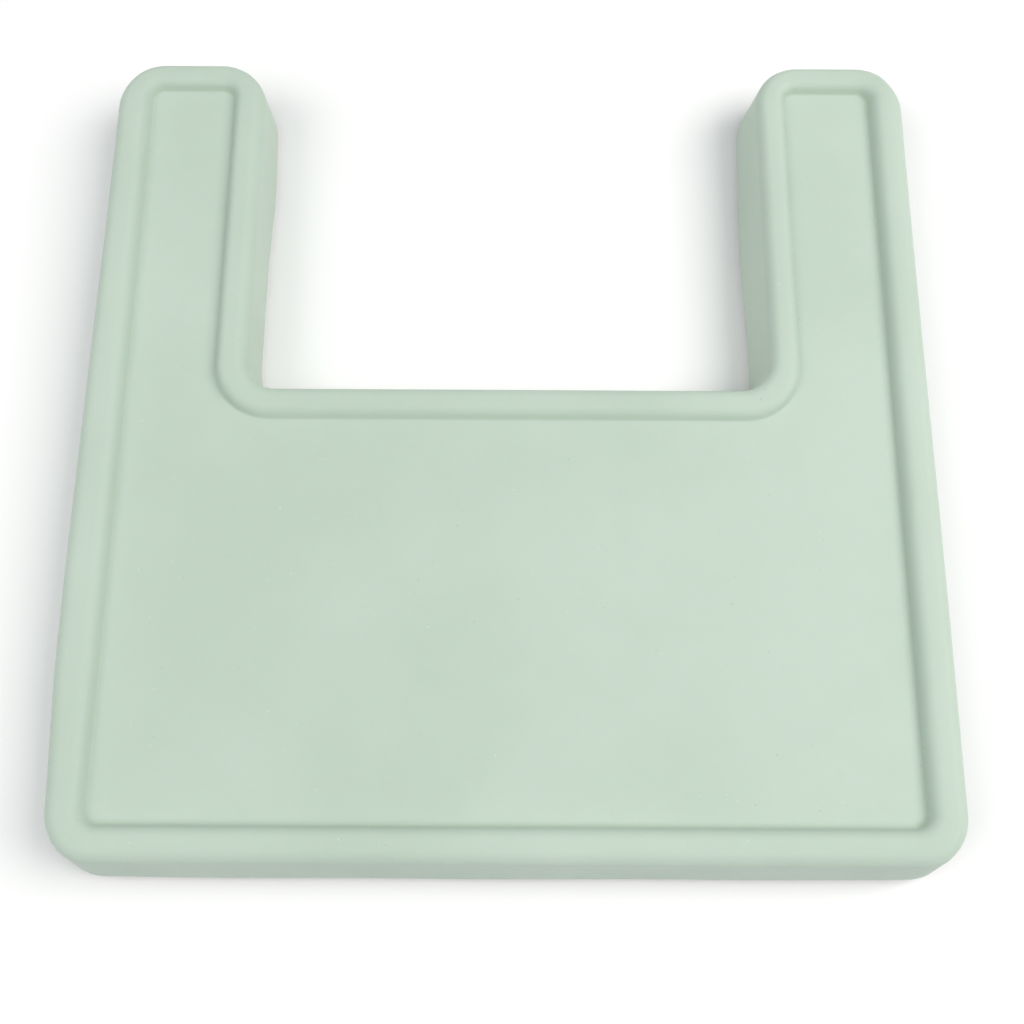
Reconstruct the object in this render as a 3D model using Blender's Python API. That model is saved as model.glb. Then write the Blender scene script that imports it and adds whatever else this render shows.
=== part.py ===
"""A high chair tray and the one-piece silicone cover that is stretched over it.

Both are U-shaped in plan, open to the child at +Y, with a sunken panel inside a raised rim.
Metres, +Z up, the middle of the bounding box on the Z axis and the lowest rib at z = 0.
"""

import math

import bmesh
import bpy

# The sunken panel, measured to the crease where the rim starts to rise.
PANEL_HALF_WIDTH = 0.2000
PANEL_DEPTH = 0.4023
NOTCH_HALF_WIDTH = 0.1550
NOTCH_FRONT = 0.2058

# Width of the raised rim on each side, from the crease to the outer face.
RIM_SIDE = 0.0215
RIM_FRONT = 0.0197
RIM_BACK = 0.0139
RIM_NOTCH_SIDE = 0.0180
RIM_NOTCH_FRONT = 0.0150

# How far the foot of the skirt stands out from the rim: side, front, back, notch side, notch front.
COVER_FLARES = (0.0040, 0.0060, 0.0030, 0.0030, 0.0020)
TRAY_FLARES = (0.0040, 0.0060, 0.0030, 0.0000, 0.0000)

# Heights above the lowest rib.
PANEL_Z = 0.0360
RIM_TOP_Z = 0.0430
COVER_HEM_OUTER = 0.0080
COVER_HEM_NOTCH = 0.0050
TRAY_HEM_OUTER = 0.0105
TRAY_HEM_NOTCH = 0.0080

# Plan radii of the corners at the crease and at the rim's outer face, and what the flare adds.
RADIUS_NEAR = (0.0067, 0.0248, 0.0042)
RADIUS_FAR_OUTER = (0.0055, 0.0275, 0.0030)
RADIUS_FAR_INNER = (0.0100, 0.0260, 0.0025)
RADIUS_NOTCH = (0.0300, 0.0140, -0.0025)

# The shells.
COVER_WALL = 0.0022
FIT_GAP = 0.0003
TRAY_WALL = 0.0023

# Cross-section of the rim: position across it, height and corner radius.
CREASE_OFFSET = 0.0005
CREASE_RADIUS = 0.0014
SHOULDER_OFFSET = 0.0034
SHOULDER_RADIUS = 0.0045
BROW_OFFSET = -0.0006
BROW_RADIUS = 0.0069
NOMINAL_RIM = 0.0180
NOMINAL_FLARE = 0.0020
HEM_ROUND = 0.0007
FACE_Z = RIM_TOP_Z - BROW_RADIUS
NO_FLARE = (0.0, 0.0, 0.0, 0.0, 0.0)

CORNER_STEPS = 7

# Ribs under the tray.
RIB_TOP = PANEL_Z - COVER_WALL - FIT_GAP - TRAY_WALL / 2
RAIL_INNER = (0.1399, 0.1426)
RAIL_OUTER = (0.1546, 0.1571)
RAIL_FRONT = 0.0123
RAIL_BACK = 0.3903
STIFFENER = 0.0020
STIFFENER_Z = 0.0200
CROSS_RIBS = (0.0533, 0.1083, 0.1633)
LONG_RIBS = (-0.0500, 0.0500)
WING_RIBS = (0.0533, 0.1633, 0.2733, 0.3583)
WING_END = 0.2130
SNAP_PLACES = (0.0883, 0.3183)
SNAP_LENGTH = 0.0240
SNAP_REACH = 0.0014

FRONT_FOOT = -(RIM_FRONT + COVER_FLARES[1])
BACK_FOOT = PANEL_DEPTH + RIM_BACK + COVER_FLARES[2]
Y_SHIFT = -(FRONT_FOOT + BACK_FOOT) / 2


def clear_scene():
    for old in list(bpy.data.objects):
        bpy.data.objects.remove(old, do_unlink=True)


def material(name, colour, roughness):
    made = bpy.data.materials.new(name)
    made.use_nodes = True
    shader = made.node_tree.nodes["Principled BSDF"]
    shader.inputs["Base Color"].default_value = (*colour, 1.0)
    shader.inputs["Roughness"].default_value = roughness
    shader.inputs["Metallic"].default_value = 0.0
    return made


def blend_radius(radii, across, flared, offset):
    crease, face, growth = radii
    return crease + (face - crease) * across + growth * flared + offset


def corner(centre_x, centre_y, radius, start, sweep):
    points = []
    for step in range(CORNER_STEPS + 1):
        angle = math.radians(start + sweep * step / CORNER_STEPS)
        points.append((centre_x + radius * math.cos(angle), centre_y + radius * math.sin(angle)))
    return points


def outline(across, flares, offset):
    """The U in plan, counter-clockwise from the front left corner.

    across goes from the crease (0) to the rim's outer face (1), flares widen that face,
    and offset moves the whole line outwards.
    """
    side = PANEL_HALF_WIDTH + RIM_SIDE * across + flares[0] + offset
    front = -(RIM_FRONT * across + flares[1] + offset)
    back = PANEL_DEPTH + RIM_BACK * across + flares[2] + offset
    notch_side = NOTCH_HALF_WIDTH - RIM_NOTCH_SIDE * across - flares[3] - offset
    notch_front = NOTCH_FRONT + RIM_NOTCH_FRONT * across + flares[4] + offset
    flared = 1.0 if any(flares) else 0.0
    flared_notch = 1.0 if flares[3] else 0.0
    near = blend_radius(RADIUS_NEAR, across, flared, offset)
    far_outer = blend_radius(RADIUS_FAR_OUTER, across, flared, offset)
    far_inner = blend_radius(RADIUS_FAR_INNER, across, flared_notch, offset)
    notch = blend_radius(RADIUS_NOTCH, across, flared_notch, -offset)
    points = corner(-side + near, front + near, near, 180, 90)
    points += corner(side - near, front + near, near, 270, 90)
    points += corner(side - far_outer, back - far_outer, far_outer, 0, 90)
    points += corner(notch_side + far_inner, back - far_inner, far_inner, 90, 90)
    points += corner(notch_side - notch, notch_front + notch, notch, 0, -90)
    points += corner(-notch_side + notch, notch_front + notch, notch, 270, -90)
    points += corner(-notch_side - far_inner, back - far_inner, far_inner, 0, 90)
    points += corner(-side + far_outer, back - far_outer, far_outer, 90, 90)
    return [(x, y + Y_SHIFT) for x, y in points]


def hem_line(outer, notch):
    """Height of the skirt's lower edge at each point of the outline."""
    middle = (outer + notch) / 2
    ends = [
        (outer, outer),
        (outer, outer),
        (outer, outer),
        (middle, notch),
        (notch, notch),
        (notch, notch),
        (notch, middle),
        (outer, outer),
    ]
    heights = []
    for first, last in ends:
        for step in range(CORNER_STEPS + 1):
            heights.append(first + (last - first) * step / CORNER_STEPS)
    return heights


def skirt_ring(flares, offset, heights):
    """The skirt's outline, standing further out the lower each point lies."""
    straight = outline(1.0, NO_FLARE, offset)
    flared = outline(1.0, flares, offset)
    points = []
    for (x, y), (foot_x, foot_y), z in zip(straight, flared, heights):
        share = (FACE_Z - z) / (FACE_Z - COVER_HEM_OUTER)
        points.append((x + (foot_x - x) * share, y + (foot_y - y) * share, z))
    return points


def unit(vector):
    length = math.hypot(*vector)
    return (vector[0] / length, vector[1] / length)


def arc_at(before, at, after, radius, depth, steps):
    """Points of a rounded corner of the cross-section, moved depth into the material."""
    first = unit((at[0] - before[0], at[1] - before[1]))
    second = unit((after[0] - at[0], after[1] - at[1]))
    normal_first = (-first[1], first[0])
    normal_second = (-second[1], second[0])
    turn = first[0] * second[1] - first[1] * second[0]
    side = 1.0 if turn > 0 else -1.0
    spread = 1.0 + normal_first[0] * normal_second[0] + normal_first[1] * normal_second[1]
    mitre = (
        (normal_first[0] + normal_second[0]) / spread,
        (normal_first[1] + normal_second[1]) / spread,
    )
    moved = (at[0] - mitre[0] * depth, at[1] - mitre[1] * depth)
    kept = max(radius + side * depth, 0.0004)
    centre = (moved[0] + side * mitre[0] * kept, moved[1] + side * mitre[1] * kept)
    start = math.atan2(-side * normal_first[1], -side * normal_first[0])
    end = math.atan2(-side * normal_second[1], -side * normal_second[0])
    sweep = (end - start + math.pi) % (2 * math.pi) - math.pi
    points = []
    for step in range(steps + 1):
        angle = start + sweep * step / steps
        points.append((centre[0] + kept * math.cos(angle), centre[1] + kept * math.sin(angle)))
    return points


def rim_rings(depth, crease_steps, shoulder_steps, brow_steps):
    """Rings over the rim, from the panel outwards, as (plan points, height)."""
    panel = (-0.010, PANEL_Z)
    crease = (CREASE_OFFSET, PANEL_Z)
    shoulder = (SHOULDER_OFFSET, RIM_TOP_Z)
    brow = (NOMINAL_RIM + BROW_OFFSET, RIM_TOP_Z)
    foot = (NOMINAL_RIM + NOMINAL_FLARE, COVER_HEM_OUTER)
    rings = []
    for x, z in arc_at(panel, crease, shoulder, CREASE_RADIUS, depth, crease_steps):
        rings.append((outline(0.0, NO_FLARE, x), z))
    for x, z in arc_at(crease, shoulder, brow, SHOULDER_RADIUS, depth, shoulder_steps):
        rings.append((outline(0.0, NO_FLARE, x), z))
    for x, z in arc_at(shoulder, brow, foot, BROW_RADIUS, depth, brow_steps):
        rings.append((outline(1.0, NO_FLARE, x - NOMINAL_RIM), z))
    return rings


def shell(name, outer_depth, wall, flares, hem, steps):
    """A skirted, rimmed U-shaped shell of one wall thickness."""
    top = rim_rings(outer_depth, *steps)
    under = rim_rings(outer_depth + wall, *steps)
    raised = [z + HEM_ROUND for z in hem]
    loops = [[(x, y, z) for x, y in ring] for ring, z in top]
    loops.append(skirt_ring(flares, -outer_depth, raised))
    loops.append(skirt_ring(flares, -outer_depth - HEM_ROUND, hem))
    loops.append(skirt_ring(flares, -outer_depth - wall + HEM_ROUND, hem))
    loops.append(skirt_ring(flares, -outer_depth - wall, raised))
    loops += [[(x, y, z) for x, y in ring] for ring, z in reversed(under)]
    mesh = bmesh.new()
    rows = [[mesh.verts.new(point) for point in loop] for loop in loops]
    count = len(rows[0])
    for inner, outer in zip(rows, rows[1:]):
        for i in range(count):
            j = (i + 1) % count
            mesh.faces.new((inner[i], outer[i], outer[j], inner[j]))
    mesh.faces.new(rows[0])
    mesh.faces.new(list(reversed(rows[-1])))
    bmesh.ops.recalc_face_normals(mesh, faces=mesh.faces)
    data = bpy.data.meshes.new(name)
    mesh.to_mesh(data)
    mesh.free()
    made = bpy.data.objects.new(name, data)
    bpy.context.scene.collection.objects.link(made)
    return made


def prism(name, low, high):
    """A block between two opposite corners."""
    mesh = bmesh.new()
    bmesh.ops.create_cube(mesh, size=1.0)
    for vertex in mesh.verts:
        for axis in range(3):
            middle = (low[axis] + high[axis]) / 2
            vertex.co[axis] = middle + vertex.co[axis] * (high[axis] - low[axis])
    data = bpy.data.meshes.new(name)
    mesh.to_mesh(data)
    mesh.free()
    made = bpy.data.objects.new(name, data)
    bpy.context.scene.collection.objects.link(made)
    return made


def snap_ridge(name, face_x, reach, middle_y):
    """A three-sided ridge that stands reach out of a rail's face and slopes both ways."""
    root = face_x - math.copysign(0.0008, reach)
    profile = [(root, 0.0030), (face_x, 0.0030), (face_x + reach, 0.0058), (face_x, 0.0086), (root, 0.0086)]
    ends = (middle_y - SNAP_LENGTH / 2 + Y_SHIFT, middle_y + SNAP_LENGTH / 2 + Y_SHIFT)
    mesh = bmesh.new()
    rows = [[mesh.verts.new((x, y, z)) for x, z in profile] for y in ends]
    count = len(profile)
    for i in range(count):
        j = (i + 1) % count
        mesh.faces.new((rows[0][i], rows[0][j], rows[1][j], rows[1][i]))
    mesh.faces.new(rows[0])
    mesh.faces.new(list(reversed(rows[1])))
    bmesh.ops.recalc_face_normals(mesh, faces=mesh.faces)
    data = bpy.data.meshes.new(name)
    mesh.to_mesh(data)
    mesh.free()
    made = bpy.data.objects.new(name, data)
    bpy.context.scene.collection.objects.link(made)
    return made


def rib(name, x_low, x_high, y_low, y_high, z_low):
    low = (min(x_low, x_high), y_low + Y_SHIFT, z_low)
    high = (max(x_low, x_high), y_high + Y_SHIFT, RIB_TOP)
    return prism(name, low, high)


def tray_ribs():
    """Rails that straddle the chair's arm rims, their snap ridges, and the stiffening ribs."""
    made = []
    half = STIFFENER / 2
    for sign, side in ((-1, "left"), (1, "right")):
        for label, (near, far) in (("inner", RAIL_INNER), ("outer", RAIL_OUTER)):
            name = f"rail_{label}_{side}"
            made.append(rib(name, sign * near, sign * far, RAIL_FRONT, RAIL_BACK, 0.0))
        stop_low = sign * (RAIL_INNER[0] + 0.0005)
        stop_high = sign * (RAIL_OUTER[1] - 0.0005)
        stop_front = RAIL_FRONT + 0.0006
        made.append(rib(f"rail_stop_{side}", stop_low, stop_high, stop_front, stop_front + 0.0025, 0.0004))
        reach = sign * SNAP_REACH
        for index, place in enumerate(SNAP_PLACES):
            made.append(snap_ridge(f"snap_out_{side}_{index}", sign * RAIL_OUTER[0], -reach, place))
            made.append(snap_ridge(f"snap_in_{side}_{index}", sign * RAIL_INNER[1], reach, place))
        for index, place in enumerate(WING_RIBS):
            low = sign * (RAIL_OUTER[1] - 0.0010)
            high = sign * WING_END
            made.append(rib(f"wing_{side}_{index}", low, high, place - half, place + half, STIFFENER_Z))
    for index, place in enumerate(CROSS_RIBS):
        reach = RAIL_INNER[0] + 0.0010
        made.append(rib(f"cross_{index}", -reach, reach, place - half, place + half, STIFFENER_Z))
    for index, place in enumerate(LONG_RIBS):
        low = CROSS_RIBS[0] - 0.0300
        high = CROSS_RIBS[-1] + 0.0300
        made.append(rib(f"long_{index}", place - half, place + half, low, high, STIFFENER_Z + 0.0003))
    return made


def join_solids(body, extras):
    for extra in extras:
        extra.hide_render = True
        extra.display_type = "WIRE"
        union = body.modifiers.new(extra.name, "BOOLEAN")
        union.operation = "UNION"
        union.solver = "EXACT"
        union.object = extra


def finish(made, paint):
    made.data.materials.clear()
    made.data.materials.append(paint)
    made.data.shade_smooth()
    made.data.set_sharp_from_angle(angle=math.radians(32))


clear_scene()
silicone = material("silicone_mint", (0.55, 0.69, 0.58), 0.62)
plastic = material("tray_plastic", (0.86, 0.86, 0.84), 0.38)

cover = shell(
    "silicone_cover",
    0.0,
    COVER_WALL,
    COVER_FLARES,
    hem_line(COVER_HEM_OUTER, COVER_HEM_NOTCH),
    (3, 4, 6),
)
finish(cover, silicone)

tray = shell(
    "tray",
    COVER_WALL + FIT_GAP,
    TRAY_WALL,
    TRAY_FLARES,
    hem_line(TRAY_HEM_OUTER, TRAY_HEM_NOTCH),
    (3, 3, 4),
)
finish(tray, plastic)
join_solids(tray, tray_ribs())
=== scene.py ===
"""The looks of a high chair tray in its soft one-piece silicone cover.

The cover is one silicone moulding with a sunken panel, a raised rounded rim and a hanging skirt.
The tray inside it is one rigid moulding with rails, ribs and snap ridges underneath.
"""

import math

import bmesh
import bpy
from mathutils import Matrix, Vector


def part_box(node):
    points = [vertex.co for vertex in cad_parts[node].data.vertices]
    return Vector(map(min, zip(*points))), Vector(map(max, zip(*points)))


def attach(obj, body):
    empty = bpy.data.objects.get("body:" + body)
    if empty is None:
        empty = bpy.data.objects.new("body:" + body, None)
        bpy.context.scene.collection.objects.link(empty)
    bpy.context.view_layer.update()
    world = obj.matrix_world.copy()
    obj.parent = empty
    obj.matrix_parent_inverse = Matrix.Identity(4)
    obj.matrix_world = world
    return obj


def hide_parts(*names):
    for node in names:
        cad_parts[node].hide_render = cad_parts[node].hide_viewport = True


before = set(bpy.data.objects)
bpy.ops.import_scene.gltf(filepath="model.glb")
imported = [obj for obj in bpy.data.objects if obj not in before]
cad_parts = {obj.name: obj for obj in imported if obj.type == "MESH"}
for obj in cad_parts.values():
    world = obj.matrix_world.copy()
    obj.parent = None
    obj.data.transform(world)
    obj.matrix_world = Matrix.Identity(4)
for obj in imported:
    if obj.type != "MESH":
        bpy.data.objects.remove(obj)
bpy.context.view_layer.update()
COVER_LOW, COVER_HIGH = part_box("silicone_cover")
TRAY_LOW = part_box("tray")[0]

MM = 0.001

# Rim widths from the crease round the panel to the rim's outer face.
RIM_SIDE = 21.5 * MM
RIM_FRONT = 19.7 * MM
RIM_BACK = 16.6 * MM
RIM_NOTCH_SIDE = 18.0 * MM
RIM_NOTCH_FRONT = 17.5 * MM

# How far the foot of the skirt stands out: side, front, back, notch side, notch front.
COVER_FLARES = (4.0 * MM, 6.0 * MM, 3.0 * MM, 3.0 * MM, 2.0 * MM)
TRAY_FLARES = (4.0 * MM, 6.0 * MM, 3.0 * MM, 0.0, 0.0)
NO_FLARE = (0.0, 0.0, 0.0, 0.0, 0.0)

# The panel and the notch, from the cover's own box.
PANEL_HALF_WIDTH = COVER_HIGH.x - COVER_FLARES[0] - RIM_SIDE
PANEL_FRONT = COVER_LOW.y + COVER_FLARES[1] + RIM_FRONT
PANEL_BACK = COVER_HIGH.y - COVER_FLARES[2] - RIM_BACK
NOTCH_HALF_WIDTH = 155.0 * MM
NOTCH_FRONT = PANEL_FRONT + 203.9 * MM

# Heights.
RIM_TOP_Z = COVER_HIGH.z
PANEL_Z = RIM_TOP_Z - 7.0 * MM
COVER_HEM_OUTER = COVER_LOW.z + 3.0 * MM
COVER_HEM_NOTCH = COVER_LOW.z
COVER_HEMS = (COVER_HEM_OUTER, COVER_HEM_OUTER, COVER_HEM_OUTER, COVER_HEM_NOTCH, COVER_HEM_NOTCH)
TRAY_HEMS = tuple(height + 2.7 * MM for height in COVER_HEMS)

# Walls of the two shells.
COVER_WALL = 2.2 * MM
TRAY_DEPTH = 2.5 * MM
TRAY_WALL = 2.3 * MM

# Plan radii of the corners at the crease and at the rim's outer face, and what the flare adds.
RADIUS_NEAR = (6.7 * MM, 24.8 * MM, 4.2 * MM)
RADIUS_FAR_OUTER = (5.5 * MM, 27.5 * MM, 3.0 * MM)
RADIUS_FAR_INNER = (6.0 * MM, 26.0 * MM, 2.5 * MM)
RADIUS_NOTCH = (30.0 * MM, 14.0 * MM, -2.5 * MM)
SMALLEST_RADIUS = 0.4 * MM

# Cross-section of the rim. Sets of five are for side, front, back, notch side, notch front.
CREASE_OFFSET = 0.5 * MM
CREASE_RADII = (2.2 * MM, 3.8 * MM, 1.9 * MM, 1.2 * MM, 1.8 * MM)
RIM_HEIGHTS = (7.0 * MM, 7.0 * MM, 5.4 * MM, 6.8 * MM, 4.6 * MM)
SHOULDER_OFFSETS = (3.4 * MM, 3.4 * MM, 3.6 * MM, 2.9 * MM, 4.2 * MM)
SHOULDER_RADII = (7.0 * MM, 6.0 * MM, 6.0 * MM, 5.0 * MM, 8.0 * MM)
BROW_OFFSET = -0.6 * MM
BROW_RADII = (8.0 * MM, 8.4 * MM, 5.8 * MM, 7.2 * MM, 5.8 * MM)
CROWN_WIDTH = 7.0 * MM
NOMINAL_RIM = 18.0 * MM
NOMINAL_FLARE = 2.0 * MM
HEM_ROUND = 0.8 * MM

# The skirt hangs from this height.
FACE_Z = RIM_TOP_Z - 8.0 * MM

# The outline is moved by this much to find which way each of its points goes.
PROBE = 3.0 * MM

# Ribs under the tray. The channels are shifted outwards to stay inside the skirts, which lean.
DECK_UNDER_Z = PANEL_Z - TRAY_DEPTH - TRAY_WALL
RIB_TOP = DECK_UNDER_Z + TRAY_WALL / 2
RAIL_INNER = (139.9 * MM, 142.6 * MM)
RAIL_OUTER = (154.6 * MM, 157.1 * MM)
CHANNEL_SHIFT = {"left": 2.6 * MM, "right": 1.0 * MM}
RAIL_FRONT = PANEL_FRONT + 12.3 * MM
RAIL_BACK = PANEL_FRONT + 390.3 * MM
STOP_OVERLAP = 0.5 * MM
STOP_INSET = 0.6 * MM
STOP_THICKNESS = 2.5 * MM
STOP_Z = 0.4 * MM
STIFFENER = 2.0 * MM
STIFFENER_Z = 20.0 * MM
STIFFENER_OVERLAP = 1.0 * MM
RIB_EDGE_ROUND = 0.5 * MM
CROSS_RIBS = (53.3 * MM, 108.3 * MM, 163.3 * MM)
LONG_RIBS = (-50.0 * MM, 50.0 * MM)
LONG_RIB_OVERRUN = 30.0 * MM
LONG_RIB_RISE = 0.3 * MM
WING_RIBS = (53.3 * MM, 163.3 * MM, 273.3 * MM, 358.3 * MM)
WING_END = 213.0 * MM
SNAP_PLACES = (88.3 * MM, 318.3 * MM)
SNAP_LENGTH = 24.0 * MM
SNAP_REACH = 1.4 * MM
SNAP_ROOT = 0.8 * MM
SNAP_EASE = 0.93
SNAP_FOOT_Z = 3.0 * MM
SNAP_EASED_Z = (5.4 * MM, 6.2 * MM)
SNAP_CREST_Z = 5.8 * MM
SNAP_TOP_Z = 8.6 * MM

# The camera, as seen from the middle of the panel's front crease.
CAMERA_OFFSET = (2.9 * MM, -8.4 * MM, 591.7 * MM)
CAMERA_TILT = math.radians(74.6)
CAMERA_YAW = math.radians(-0.06)
CAMERA_ROLL = math.radians(0.25)
CAMERA_LENS = 42.19
CAMERA_SENSOR = 36.0


def link(name, data):
    made = bpy.data.objects.new(name, data)
    bpy.context.scene.collection.objects.link(made)
    return made


def link_mesh(name, mesh):
    data = bpy.data.meshes.new(name)
    mesh.to_mesh(data)
    mesh.free()
    return link(name, data)


def smooth_step(value, low, high):
    share = min(max((value - low) / (high - low), 0.0), 1.0)
    return share * share * (3.0 - 2.0 * share)


def swell(value, height, centre, width):
    return height * math.exp(-(((value - centre) / width) ** 2))


# ---------------------------------------------------------------- plan outline


def blend_radius(radii, across, flared, offset):
    crease, face, growth = radii
    radius = crease + (face - crease) * across + growth * flared + offset
    return max(radius, SMALLEST_RADIUS)


def corner(centre_x, centre_y, radius, start, sweep, steps):
    points = []
    for step in range(steps + 1):
        angle = math.radians(start + sweep * step / steps)
        points.append((centre_x + radius * math.cos(angle), centre_y + radius * math.sin(angle)))
    return points


def outline(across, flares, offset, corner_steps, straight_steps):
    """The U in plan, counter-clockwise from the front left corner.

    across goes from the crease (0) to the rim's outer face (1), flares widen that face and offset moves
    the whole line outwards. straight_steps gives the number of pieces of each straight, or is None.
    """
    side = PANEL_HALF_WIDTH + RIM_SIDE * across + flares[0] + offset
    front = PANEL_FRONT - (RIM_FRONT * across + flares[1] + offset)
    back = PANEL_BACK + RIM_BACK * across + flares[2] + offset
    notch_side = NOTCH_HALF_WIDTH - RIM_NOTCH_SIDE * across - flares[3] - offset
    notch_front = NOTCH_FRONT + RIM_NOTCH_FRONT * across + flares[4] + offset
    flared = 1.0 if any(flares) else 0.0
    flared_notch = 1.0 if flares[3] else 0.0
    near = blend_radius(RADIUS_NEAR, across, flared, offset)
    far_outer = blend_radius(RADIUS_FAR_OUTER, across, flared, offset)
    far_inner = blend_radius(RADIUS_FAR_INNER, across, flared_notch, offset)
    notch = blend_radius(RADIUS_NOTCH, across, flared_notch, -offset)
    arcs = [
        corner(-side + near, front + near, near, 180, 90, corner_steps),
        corner(side - near, front + near, near, 270, 90, corner_steps),
        corner(side - far_outer, back - far_outer, far_outer, 0, 90, corner_steps),
        corner(notch_side + far_inner, back - far_inner, far_inner, 90, 90, corner_steps),
        corner(notch_side - notch, notch_front + notch, notch, 0, -90, corner_steps),
        corner(-notch_side + notch, notch_front + notch, notch, 270, -90, corner_steps),
        corner(-notch_side - far_inner, back - far_inner, far_inner, 0, 90, corner_steps),
        corner(-side + far_outer, back - far_outer, far_outer, 90, 90, corner_steps),
    ]
    points = []
    for index, arc in enumerate(arcs):
        points += arc
        pieces = straight_steps[index] if straight_steps else 1
        (x0, y0), (x1, y1) = arc[-1], arcs[(index + 1) % len(arcs)][0]
        for step in range(1, pieces):
            share = step / pieces
            points.append((x0 + (x1 - x0) * share, y0 + (y1 - y0) * share))
    return points


def along_outline(values, corner_steps, straight_steps):
    """A value at each point of the outline, from five: side, front, back, notch side, notch front."""
    side, front, back, notch_side, notch_front = values
    ends = [
        (side, front),
        (front, side),
        (side, back),
        (back, notch_side),
        (notch_side, notch_front),
        (notch_front, notch_side),
        (notch_side, back),
        (back, side),
    ]
    found = []
    for index, (first, last) in enumerate(ends):
        for step in range(corner_steps + 1):
            found.append(first + (last - first) * smooth_step(step / corner_steps, 0.0, 1.0))
        pieces = straight_steps[index] if straight_steps else 1
        found += [last] * (pieces - 1)
    return found


# ---------------------------------------------------------------- cross-section


def unit(vector):
    length = math.hypot(*vector)
    return (vector[0] / length, vector[1] / length)


def arc_at(before, at, after, radius, depth, steps):
    """Points of a rounded corner of the cross-section, moved depth into the material."""
    first = unit((at[0] - before[0], at[1] - before[1]))
    second = unit((after[0] - at[0], after[1] - at[1]))
    normal_first = (-first[1], first[0])
    normal_second = (-second[1], second[0])
    turn = first[0] * second[1] - first[1] * second[0]
    side = 1.0 if turn > 0 else -1.0
    spread = 1.0 + normal_first[0] * normal_second[0] + normal_first[1] * normal_second[1]
    mitre = (
        (normal_first[0] + normal_second[0]) / spread,
        (normal_first[1] + normal_second[1]) / spread,
    )
    moved = (at[0] - mitre[0] * depth, at[1] - mitre[1] * depth)
    kept = max(radius + side * depth, SMALLEST_RADIUS)
    centre = (moved[0] + side * mitre[0] * kept, moved[1] + side * mitre[1] * kept)
    start = math.atan2(-side * normal_first[1], -side * normal_first[0])
    end = math.atan2(-side * normal_second[1], -side * normal_second[0])
    sweep = (end - start + math.pi) % (2 * math.pi) - math.pi
    points = []
    for step in range(steps + 1):
        angle = start + sweep * step / steps
        points.append((centre[0] + kept * math.cos(angle), centre[1] + kept * math.sin(angle)))
    return points


def rim_section(depth, rise, offset, crease_radius, shoulder_radius, brow_radius, detail):
    """Points (distance, height) of the rim's inner wall and of its brow.

    The wall's distances are from the crease round the panel, and the brow's from the rim's outer face.
    """
    panel = (CREASE_OFFSET - NOMINAL_RIM, PANEL_Z)
    crease = (CREASE_OFFSET, PANEL_Z)
    shoulder = (offset, PANEL_Z + rise)
    brow = (NOMINAL_RIM + BROW_OFFSET, PANEL_Z + rise)
    foot = (NOMINAL_RIM + NOMINAL_FLARE, COVER_HEM_OUTER)
    inner = arc_at(panel, crease, shoulder, crease_radius, depth, detail["crease"])
    inner += arc_at(crease, shoulder, brow, shoulder_radius, depth, detail["shoulder"])
    outer = arc_at(shoulder, brow, foot, brow_radius, depth, detail["brow"])
    return inner, [(x - NOMINAL_RIM, z) for x, z in outer]


def rim_rings(depth, detail):
    """Rings over the rim, from the panel outwards to the top of the skirt."""
    corners, straights = detail["corners"], detail["straights"]
    choices = (RIM_HEIGHTS, SHOULDER_OFFSETS, CREASE_RADII, SHOULDER_RADII, BROW_RADII)
    shapes = zip(*(along_outline(choice, corners, straights) for choice in choices))
    sections = [rim_section(depth, *shape, detail) for shape in shapes]

    def rings(across, part):
        line = outline(across, NO_FLARE, 0.0, corners, straights)
        probe = PROBE if part == 0 else -PROBE
        moved = outline(across, NO_FLARE, probe, corners, straights)
        made = []
        for row in range(len(sections[0][part])):
            ring = []
            for (x, y), (far_x, far_y), section in zip(line, moved, sections):
                distance, z = section[part][row]
                share = distance / probe
                ring.append((x + (far_x - x) * share, y + (far_y - y) * share, z))
            made.append(ring)
        return made

    inner, outer = rings(0.0, 0), rings(1.0, 1)
    return inner + crown_rings(inner[-1], outer[0], detail["crown"], detail["dome"]) + outer


def crown_rings(inner, outer, steps, dome):
    """Rings across the top of the rim, which swells where it is wide."""
    rings = []
    for step in range(1, steps):
        share = step / steps
        ring = []
        for (x0, y0, z0), (x1, y1, z1) in zip(inner, outer):
            width = min(math.hypot(x1 - x0, y1 - y0) / CROWN_WIDTH, 1.0)
            lift = dome * width * width * math.sin(math.pi * share)
            ring.append((x0 + (x1 - x0) * share, y0 + (y1 - y0) * share, z0 + (z1 - z0) * share + lift))
        rings.append(ring)
    return rings


def skirt_ring(flares, offset, heights, corner_steps, straight_steps):
    """A ring round the skirt, which flares towards its foot."""
    straight = outline(1.0, NO_FLARE, offset, corner_steps, straight_steps)
    flared = outline(1.0, flares, offset, corner_steps, straight_steps)
    points = []
    for (x, y), (foot_x, foot_y), z in zip(straight, flared, heights):
        share = (FACE_Z - z) / (FACE_Z - COVER_HEM_OUTER)
        points.append((x + (foot_x - x) * share, y + (foot_y - y) * share, z))
    return points


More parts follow.
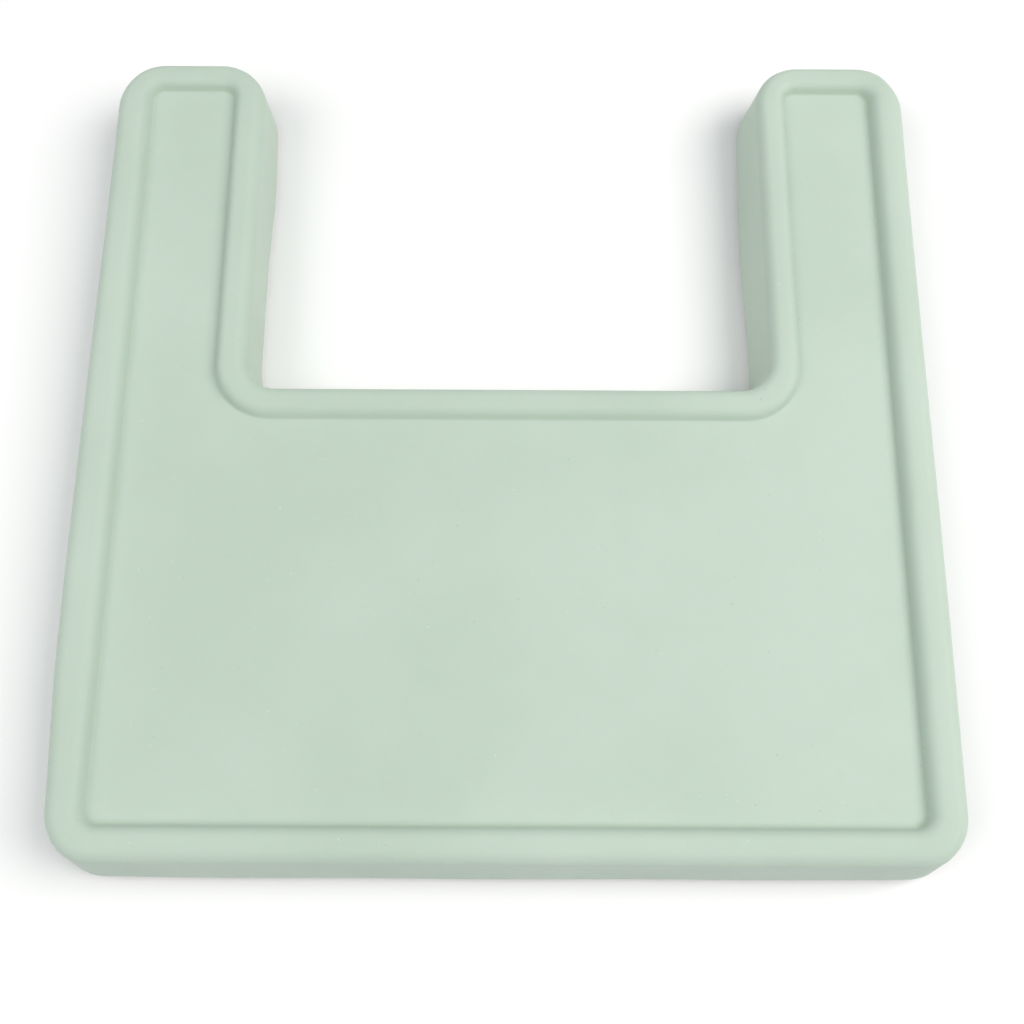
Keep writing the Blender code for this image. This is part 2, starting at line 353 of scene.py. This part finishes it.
def shell_loops(depth, wall, flares, hem, detail):
    """Rings from the middle of the top, over the rim and the hem, to the middle of the underside."""
    corners, straights = detail["corners"], detail["straights"]

    def level(across, offset, z):
        return [(x, y, z) for x, y in outline(across, NO_FLARE, offset, corners, straights)]

    def skirt(offset, lift, share):
        heights = [h + lift + (FACE_Z - h - lift) * share for h in hem]
        return skirt_ring(flares, offset, heights, corners, straights)

    loops = [level(0.0, inset, PANEL_Z - depth) for inset in detail["insets"]]
    loops += rim_rings(depth, detail)
    for step in range(1, detail["skirt"]):
        loops.append(skirt(-depth, HEM_ROUND, 1.0 - step / detail["skirt"]))
    for step in range(detail["hem"] + 1):
        angle = math.pi / 2 * step / detail["hem"]
        inward = HEM_ROUND * (1.0 - math.cos(angle))
        loops.append(skirt(-depth - inward, HEM_ROUND * (1.0 - math.sin(angle)), 0.0))
    for step in range(detail["hem"] + 1):
        angle = math.pi / 2 * step / detail["hem"]
        inward = wall - HEM_ROUND + HEM_ROUND * math.sin(angle)
        loops.append(skirt(-depth - inward, HEM_ROUND * (1.0 - math.cos(angle)), 0.0))
    for step in range(1, detail["skirt"]):
        loops.append(skirt(-depth - wall, HEM_ROUND, step / detail["skirt"]))
    loops += reversed(rim_rings(depth + wall, detail))
    loops += [level(0.0, inset, PANEL_Z - depth - wall) for inset in reversed(detail["insets"])]
    return loops


def lofted(name, loops):
    """A closed solid through the loops, with a flat face on the first and on the last."""
    mesh = bmesh.new()
    rows = [[mesh.verts.new(point) for point in loop] for loop in loops]
    count = len(rows[0])
    for inner, outer in zip(rows, rows[1:]):
        for i in range(count):
            j = (i + 1) % count
            mesh.faces.new((inner[i], outer[i], outer[j], inner[j]))
    mesh.faces.new(rows[0])
    mesh.faces.new(list(reversed(rows[-1])))
    bmesh.ops.recalc_face_normals(mesh, faces=mesh.faces)
    return link_mesh(name, mesh)


# ---------------------------------------------------------------- the soft cover


# How finely each part of a shell is made. The straights go round the U from the front one.
COVER_DETAIL = {
    "corners": 16,
    "straights": (96, 96, 10, 46, 62, 46, 10, 96),
    "insets": (-14.0 * MM, -8.0 * MM, -5.0 * MM, -3.2 * MM),
    "crease": 6,
    "shoulder": 7,
    "crown": 5,
    "dome": 0.12 * MM,
    "brow": 12,
    "skirt": 8,
    "hem": 3,
}

# How the rim's side faces bow outwards. Places along the cover are from the crease at its front.
LEFT_BOW = 1.4 * MM
LEFT_BOW_PEAK = 93.0 * MM
LEFT_BOW_HALF_WAVE = 320.0 * MM
LEFT_BOW_DROP = 2.6 * MM
LEFT_BOW_DROP_ZONE = (10.0 * MM, 100.0 * MM)
LEFT_BOW_REST = 0.3 * MM
RIGHT_BOW = 0.2 * MM
RIGHT_BOW_DROP = 1.0 * MM
RIGHT_BOW_DROP_ZONE = (90.0 * MM, 330.0 * MM)

# The right rim's inner wall stands a little further out between these places across the cover.
RIGHT_WALL_SHIFT = 1.1 * MM
RIGHT_WALL_START = (186.0 * MM, 198.0 * MM)
RIGHT_WALL_END = (206.0 * MM, 215.0 * MM)

# The skirts beside the notch lean, between these places across the cover and from these along it.
# A swell is its height, its place along the arm and its width.
NOTCH_SKIRT_START = (90.0 * MM, 126.0 * MM)
NOTCH_SKIRT_END = (138.0 * MM, 150.0 * MM)
ARM_START = (222.0 * MM, 245.0 * MM)
RIGHT_LEAN = 0.4 * MM
RIGHT_LEAN_SWELL = (2.2 * MM, 330.0 * MM, 55.0 * MM)
RIGHT_NOTCH_SHIFT = 0.9 * MM
LEFT_LEAN = -2.7 * MM
LEFT_LEAN_SWELL = (1.6 * MM, 355.0 * MM, 34.0 * MM)

# Ripples of the skirts: height, then how fast the wave turns.
DIAGONAL_RIPPLE = 0.35 * MM
DIAGONAL_TURNS = (38.0, 11.0)
CROSS_RIPPLE = 0.25 * MM
CROSS_TURNS = 47.0
CROSS_PHASE = 1.3
RIPPLE_SHARE = 0.6


def left_bow(along):
    """How far the left face of the rim stands out, along its length from the front crease."""
    if along > LEFT_BOW_PEAK:
        return LEFT_BOW * math.cos(math.pi * (along - LEFT_BOW_PEAK) / LEFT_BOW_HALF_WAVE)
    return LEFT_BOW - LEFT_BOW_DROP * smooth_step(LEFT_BOW_PEAK - along, *LEFT_BOW_DROP_ZONE)


def right_bow(along):
    return RIGHT_BOW - RIGHT_BOW_DROP * smooth_step(along, *RIGHT_BOW_DROP_ZONE)


def relax(point):
    """Moves a point of the ideal cover to where the soft skirt and rim really lie."""
    x, y, z = point
    along = y - PANEL_FRONT
    hang = max((FACE_Z - z) / (FACE_Z - COVER_HEM_OUTER), 0.0)
    outer = smooth_step(abs(x), PANEL_HALF_WIDTH, PANEL_HALF_WIDTH + RIM_SIDE)
    if x < 0:
        x -= (left_bow(along) - LEFT_BOW_REST) * outer
    else:
        x += right_bow(along) * outer
        x += RIGHT_WALL_SHIFT * (smooth_step(x, *RIGHT_WALL_START) - smooth_step(x, *RIGHT_WALL_END))
    inside = 1.0 - smooth_step(abs(x), *NOTCH_SKIRT_END)
    beside = smooth_step(abs(x), *NOTCH_SKIRT_START)
    arms = smooth_step(along, *ARM_START)
    if x > 0:
        lean = RIGHT_LEAN + swell(along, *RIGHT_LEAN_SWELL)
        x -= lean * hang * inside * beside * arms
        x += RIGHT_NOTCH_SHIFT * inside * beside * arms
    else:
        lean = LEFT_LEAN + swell(along, *LEFT_LEAN_SWELL)
        x += lean * hang * inside * beside * arms
    ripple = DIAGONAL_RIPPLE * math.sin(along * DIAGONAL_TURNS[0] + x * DIAGONAL_TURNS[1])
    ripple += CROSS_RIPPLE * math.sin(x * CROSS_TURNS - CROSS_PHASE)
    y += ripple * min(hang, 1.0) * RIPPLE_SHARE
    return (x, y, z)


def make_cover():
    hem = along_outline(COVER_HEMS, COVER_DETAIL["corners"], COVER_DETAIL["straights"])
    loops = shell_loops(0.0, COVER_WALL, COVER_FLARES, hem, COVER_DETAIL)
    loops = [[relax(point) for point in loop] for loop in loops]
    cover = lofted("cover_moulding", loops)
    cover.data.shade_smooth()
    return cover


# ---------------------------------------------------------------- the rigid tray


TRAY_DETAIL = {
    "corners": 12,
    "straights": (12, 16, 3, 10, 12, 10, 3, 16),
    "insets": (-3.2 * MM,),
    "crease": 4,
    "shoulder": 5,
    "crown": 2,
    "dome": 0.0,
    "brow": 8,
    "skirt": 1,
    "hem": 2,
}
SHARP_ANGLE = math.radians(32)


def block(name, low, high):
    """A box with its lower edges rounded."""
    mesh = bmesh.new()
    bmesh.ops.create_cube(mesh, size=1.0)
    for vertex in mesh.verts:
        for axis in range(3):
            middle = (low[axis] + high[axis]) / 2
            vertex.co[axis] = middle + vertex.co[axis] * (high[axis] - low[axis])
    lower = [edge for edge in mesh.edges if all(v.co.z < (low[2] + high[2]) / 2 for v in edge.verts)]
    bmesh.ops.bevel(mesh, geom=lower, offset=RIB_EDGE_ROUND, segments=3, profile=0.5, affect="EDGES")
    return link_mesh(name, mesh)


def snap_ridge(name, face_x, reach, middle_y):
    """A ridge that stands reach out of a rail's face and slopes both ways."""
    root = face_x - math.copysign(SNAP_ROOT, reach)
    crest = face_x + reach
    eased = face_x + reach * SNAP_EASE
    profile = [
        (root, SNAP_FOOT_Z),
        (face_x, SNAP_FOOT_Z),
        (eased, SNAP_EASED_Z[0]),
        (crest, SNAP_CREST_Z),
        (eased, SNAP_EASED_Z[1]),
        (face_x, SNAP_TOP_Z),
        (root, SNAP_TOP_Z),
    ]
    ends = (middle_y - SNAP_LENGTH / 2, middle_y + SNAP_LENGTH / 2)
    return lofted(name, [[(x, y, z) for x, z in profile] for y in ends])


def rib(name, x_ends, y_low, y_high, z_low):
    return block(name, (min(x_ends), y_low, z_low), (max(x_ends), y_high, RIB_TOP))


def side_ribs(sign, side):
    """The channel under one arm, with its stop and snap ridges, and the ribs out to the skirt."""
    made = []
    inner = [place + CHANNEL_SHIFT[side] for place in RAIL_INNER]
    outer = [place + CHANNEL_SHIFT[side] for place in RAIL_OUTER]
    for label, (near, far) in (("inner", inner), ("outer", outer)):
        ends = (sign * near, sign * far)
        made.append(rib(f"rail_{label}_{side}", ends, RAIL_FRONT, RAIL_BACK, TRAY_LOW.z))
    ends = (sign * (inner[0] + STOP_OVERLAP), sign * (outer[1] - STOP_OVERLAP))
    stop_front = RAIL_FRONT + STOP_INSET
    made.append(rib(f"rail_stop_{side}", ends, stop_front, stop_front + STOP_THICKNESS, STOP_Z))
    reach = sign * SNAP_REACH
    for index, place in enumerate(SNAP_PLACES):
        middle = PANEL_FRONT + place
        made.append(snap_ridge(f"snap_out_{side}_{index}", sign * outer[0], -reach, middle))
        made.append(snap_ridge(f"snap_in_{side}_{index}", sign * inner[1], reach, middle))
    for index, place in enumerate(WING_RIBS):
        ends = (sign * (outer[1] - STIFFENER_OVERLAP), sign * WING_END)
        middle = PANEL_FRONT + place
        low, high = middle - STIFFENER / 2, middle + STIFFENER / 2
        made.append(rib(f"wing_{side}_{index}", ends, low, high, STIFFENER_Z))
    return made


def tray_ribs():
    made = side_ribs(-1, "left") + side_ribs(1, "right")
    half = STIFFENER / 2
    reach = [RAIL_INNER[0] + CHANNEL_SHIFT[side] + STIFFENER_OVERLAP for side in ("left", "right")]
    for index, place in enumerate(CROSS_RIBS):
        middle = PANEL_FRONT + place
        ends = (-reach[0], reach[1])
        made.append(rib(f"cross_{index}", ends, middle - half, middle + half, STIFFENER_Z))
    for index, place in enumerate(LONG_RIBS):
        low = PANEL_FRONT + CROSS_RIBS[0] - LONG_RIB_OVERRUN
        high = PANEL_FRONT + CROSS_RIBS[-1] + LONG_RIB_OVERRUN
        ends = (place - half, place + half)
        made.append(rib(f"long_{index}", ends, low, high, STIFFENER_Z + LONG_RIB_RISE))
    return made


def apply_modifiers(made):
    graph = bpy.context.evaluated_depsgraph_get()
    data = bpy.data.meshes.new_from_object(made.evaluated_get(graph))
    made.modifiers.clear()
    made.data = data


def make_tray():
    hem = along_outline(TRAY_HEMS, TRAY_DETAIL["corners"], TRAY_DETAIL["straights"])
    loops = shell_loops(TRAY_DEPTH, TRAY_WALL, TRAY_FLARES, hem, TRAY_DETAIL)
    tray = lofted("tray_moulding", [[relax(point) for point in loop] for loop in loops])
    extras = tray_ribs()
    for extra in extras:
        union = tray.modifiers.new(extra.name, "BOOLEAN")
        union.operation = "UNION"
        union.solver = "EXACT"
        union.object = extra
    apply_modifiers(tray)
    for extra in extras:
        bpy.data.objects.remove(extra, do_unlink=True)
    tray.data.shade_smooth()
    tray.data.set_sharp_from_angle(angle=SHARP_ANGLE)
    return tray


# ---------------------------------------------------------------- materials


def new_material(name):
    made = bpy.data.materials.new(name)
    made.use_nodes = True
    nodes = made.node_tree.nodes
    return made, nodes, made.node_tree.links, nodes["Principled BSDF"]


def noise(nodes, links, coordinates, scale, detail, roughness=0.5):
    made = nodes.new("ShaderNodeTexNoise")
    made.inputs["Scale"].default_value = scale
    made.inputs["Detail"].default_value = detail
    made.inputs["Roughness"].default_value = roughness
    links.new(coordinates, made.inputs["Vector"])
    return made.outputs["Fac"]


def spread(nodes, links, value, low, high, to_low, to_high):
    """The value, with low to high stretched to to_low to to_high and held beyond them."""
    made = nodes.new("ShaderNodeMapRange")
    made.inputs["From Min"].default_value = low
    made.inputs["From Max"].default_value = high
    made.inputs["To Min"].default_value = to_low
    made.inputs["To Max"].default_value = to_high
    links.new(value, made.inputs["Value"])
    return made.outputs["Result"]


def product(nodes, links, first, second):
    made = nodes.new("ShaderNodeMath")
    made.operation = "MULTIPLY"
    links.new(first, made.inputs[0])
    links.new(second, made.inputs[1])
    return made.outputs[0]


def mixed(nodes, links, share, first, second):
    """The first colour where share is 0 and the second where it is 1."""
    made = nodes.new("ShaderNodeMix")
    made.data_type = "RGBA"
    links.new(share, made.inputs["Factor"])
    for socket, colour in ((made.inputs["A"], first), (made.inputs["B"], second)):
        if isinstance(colour, tuple):
            socket.default_value = (*colour, 1.0)
        else:
            links.new(colour, socket)
    return made.outputs["Result"]


def bumped(nodes, links, place, layers):
    """A normal from layers of noise, each with its scale, detail, roughness and height."""
    normal = None
    for scale, detail, roughness, height in layers:
        made = nodes.new("ShaderNodeBump")
        made.inputs["Strength"].default_value = 1.0
        made.inputs["Distance"].default_value = height
        links.new(noise(nodes, links, place, scale, detail, roughness), made.inputs["Height"])
        if normal is not None:
            links.new(normal, made.inputs["Normal"])
        normal = made.outputs["Normal"]
    return normal


def clouded(nodes, links, place, scale, detail, first, second):
    """Two colours in soft clouds."""
    cloud = noise(nodes, links, place, scale, detail)
    return mixed(nodes, links, spread(nodes, links, cloud, *CLOUD_RANGE, 0.0, 1.0), first, second)


def specks(nodes, links, place, scale, threshold, strength):
    """Scattered small spots where fine noise passes the threshold."""
    spots = noise(nodes, links, place, scale, 1.0)
    return spread(nodes, links, spots, threshold, SPECK_FULL, 0.0, strength)


def shifted(nodes, links, place, shift):
    made = nodes.new("ShaderNodeVectorMath")
    made.operation = "ADD"
    made.inputs[1].default_value = shift
    links.new(place, made.inputs[0])
    return made.outputs[0]


def set_sockets(shader, values):
    for name, value in values.items():
        shader.inputs[name].default_value = value


CLOUD_RANGE = (0.35, 0.65)
SMUDGE_RANGE = (0.3, 0.7)
SPECK_FULL = 0.81

SILICONE_DEEP = (0.468, 0.563, 0.475)
SILICONE_PALE = (0.502, 0.594, 0.508)
# Painted bounce light: a greener tint for the wall between the panel and the rim.
SILICONE_PAINTED_BOUNCE = (0.472, 0.577, 0.468)
LINT_DARK = (0.32, 0.40, 0.35)
LINT_PALE = (0.62, 0.72, 0.64)
LINT_SHIFT = (3.1, 1.7, 0.4)
SILICONE_ROUGHNESS = (0.54, 0.68)
SILICONE_BUMPS = (
    (14.0, 1.0, 0.5, 0.9 * MM),
    (190.0, 2.0, 0.5, 0.05 * MM),
    (1900.0, 2.0, 0.6, 0.018 * MM),
)
SILICONE_SOCKETS = {
    "Subsurface Weight": 0.3,
    "Subsurface Radius": (0.6, 1.0, 0.65),
    "Subsurface Scale": 3.0 * MM,
    "IOR": 1.41,
    "Specular IOR Level": 0.4,
    "Sheen Weight": 0.06,
    "Sheen Roughness": 0.5,
}

PLASTIC_DEEP = (0.80, 0.80, 0.78)
PLASTIC_PALE = (0.84, 0.84, 0.82)
PLASTIC_ROUGHNESS = (0.30, 0.44)
PLASTIC_BUMPS = ((1500.0, 2.0, 0.6, 0.02 * MM),)
PLASTIC_SOCKETS = {"IOR": 1.49}

FLOOR_SOCKETS = {
    "Base Color": (0.90, 0.897, 0.888, 1.0),
    "Roughness": 0.9,
    "Specular IOR Level": 0.2,
}

# Where painted bounce light tints the rim's inner wall greener: up from the panel, and out past the
# crease.
GROOVE_RISE = (PANEL_Z, PANEL_Z + 0.8 * MM)
GROOVE_FADE = (PANEL_Z + 1.0 * MM, PANEL_Z + 3.2 * MM)
GROOVE_REACH = 7.0 * MM
GROOVE_EDGE = 5.0 * MM


def painted_bounce_share(nodes, links, place):
    """1 on the wall between the panel and the rim, where painted bounce light tints it greener,
    standing in for light that bounces to and fro.
    """
    split = nodes.new("ShaderNodeSeparateXYZ")
    links.new(place, split.inputs[0])
    aside = nodes.new("ShaderNodeMath")
    aside.operation = "ABSOLUTE"
    links.new(split.outputs["X"], aside.inputs[0])
    side = PANEL_HALF_WIDTH + GROOVE_REACH
    front = PANEL_FRONT - GROOVE_REACH
    share = spread(nodes, links, split.outputs["Z"], *GROOVE_RISE, 0.0, 1.0)
    for value, low, high, to_low, to_high in (
        (split.outputs["Z"], *GROOVE_FADE, 1.0, 0.0),
        (aside.outputs[0], side, side + GROOVE_EDGE, 1.0, 0.0),
        (split.outputs["Y"], front - GROOVE_EDGE, front, 0.0, 1.0),
    ):
        share = product(nodes, links, share, spread(nodes, links, value, low, high, to_low, to_high))
    return share


def silicone_material():
    made, nodes, links, shader = new_material("silicone_mint")
    place = nodes.new("ShaderNodeTexCoord").outputs["Object"]
    colour = clouded(nodes, links, place, 9.0, 3.0, SILICONE_DEEP, SILICONE_PALE)
    # Painted bounce light: the wall between the panel and the rim is tinted greener.
    colour = mixed(nodes, links, painted_bounce_share(nodes, links, place), colour, SILICONE_PAINTED_BOUNCE)
    dark = specks(nodes, links, place, 420.0, 0.775, 0.45)
    colour = mixed(nodes, links, dark, colour, LINT_DARK)
    pale = specks(nodes, links, shifted(nodes, links, place, LINT_SHIFT), 380.0, 0.765, 0.4)
    colour = mixed(nodes, links, pale, colour, LINT_PALE)
    links.new(colour, shader.inputs["Base Color"])
    smudge = noise(nodes, links, place, 22.0, 4.0, 0.6)
    dulled = spread(nodes, links, smudge, *SMUDGE_RANGE, *SILICONE_ROUGHNESS)
    links.new(dulled, shader.inputs["Roughness"])
    links.new(bumped(nodes, links, place, SILICONE_BUMPS), shader.inputs["Normal"])
    set_sockets(shader, SILICONE_SOCKETS)
    return made


def plastic_material():
    made, nodes, links, shader = new_material("tray_plastic_white")
    place = nodes.new("ShaderNodeTexCoord").outputs["Object"]
    colour = clouded(nodes, links, place, 12.0, 2.0, PLASTIC_DEEP, PLASTIC_PALE)
    links.new(colour, shader.inputs["Base Color"])
    rub = noise(nodes, links, place, 60.0, 4.0, 0.7)
    worn = spread(nodes, links, rub, *SMUDGE_RANGE, *PLASTIC_ROUGHNESS)
    links.new(worn, shader.inputs["Roughness"])
    links.new(bumped(nodes, links, place, PLASTIC_BUMPS), shader.inputs["Normal"])
    set_sockets(shader, PLASTIC_SOCKETS)
    return made


def floor_material():
    made, nodes, links, shader = new_material("floor_pale")
    set_sockets(shader, FLOOR_SOCKETS)
    return made


def paint(piece, material):
    piece.data.materials.clear()
    piece.data.materials.append(material)


# ---------------------------------------------------------------- camera and light


DOME_COLOUR = (0.92, 1.0, 1.06, 1.0)
DOME_HEIGHTS = (0.0, 0.8)
DOME_STRENGTHS = (0.23, 0.45)
SOFTBOX_SIZE = 1.6
SOFTBOX_COLOUR = (1.03, 1.0, 0.97)
SOFTBOXES = (
    ("softbox_right", (1.5, 0.05, 1.85), 42.5),
    ("softbox_left", (-1.5, -0.4, 1.85), 23.5),
)
FLOOR_HALF = 6.0


def make_camera():
    data = bpy.data.cameras.new("camera")
    data.lens = CAMERA_LENS
    data.sensor_width = CAMERA_SENSOR
    data.clip_start = 0.01
    data.clip_end = 30.0
    made = link("camera", data)
    front_crease = Vector((0.0, PANEL_FRONT, PANEL_Z))
    turn = (
        Matrix.Rotation(-CAMERA_YAW, 4, "Z")
        @ Matrix.Rotation(math.pi / 2 - CAMERA_TILT, 4, "X")
        @ Matrix.Rotation(CAMERA_ROLL, 4, "Z")
    )
    made.matrix_world = Matrix.Translation(front_crease + Vector(CAMERA_OFFSET)) @ turn
    bpy.context.scene.camera = made


def softbox(name, place, power):
    """A square light that faces the middle of the object."""
    data = bpy.data.lights.new(name, "AREA")
    data.shape = "SQUARE"
    data.size = SOFTBOX_SIZE
    data.energy = power
    data.color = SOFTBOX_COLOUR
    made = link(name, data)
    made.location = place
    made.rotation_euler = (-Vector(place)).to_track_quat("-Z", "Y").to_euler()


def make_light():
    """An even dome, weaker near the horizon, and a softbox on each side."""
    world = bpy.data.worlds.new("studio")
    world.use_nodes = True
    nodes = world.node_tree.nodes
    links = world.node_tree.links
    background = nodes["Background"]
    background.inputs["Color"].default_value = DOME_COLOUR
    height = nodes.new("ShaderNodeSeparateXYZ")
    links.new(nodes.new("ShaderNodeTexCoord").outputs["Generated"], height.inputs["Vector"])
    dome = spread(nodes, links, height.outputs["Z"], *DOME_HEIGHTS, *DOME_STRENGTHS)
    links.new(dome, background.inputs["Strength"])
    bpy.context.scene.world = world
    for name, place, power in SOFTBOXES:
        softbox(name, place, power)
    bpy.context.scene.view_settings.view_transform = "Standard"


def make_floor():
    mesh = bmesh.new()
    bmesh.ops.create_grid(mesh, x_segments=1, y_segments=1, size=FLOOR_HALF)
    made = link_mesh("floor", mesh)
    paint(made, floor_material())


# ---------------------------------------------------------------- the scene


make_camera()
make_light()
make_floor()

cover_piece = make_cover()
paint(cover_piece, silicone_material())
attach(cover_piece, "cover")
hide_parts("silicone_cover")

tray_piece = make_tray()
paint(tray_piece, plastic_material())
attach(tray_piece, "tray")
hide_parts("tray")
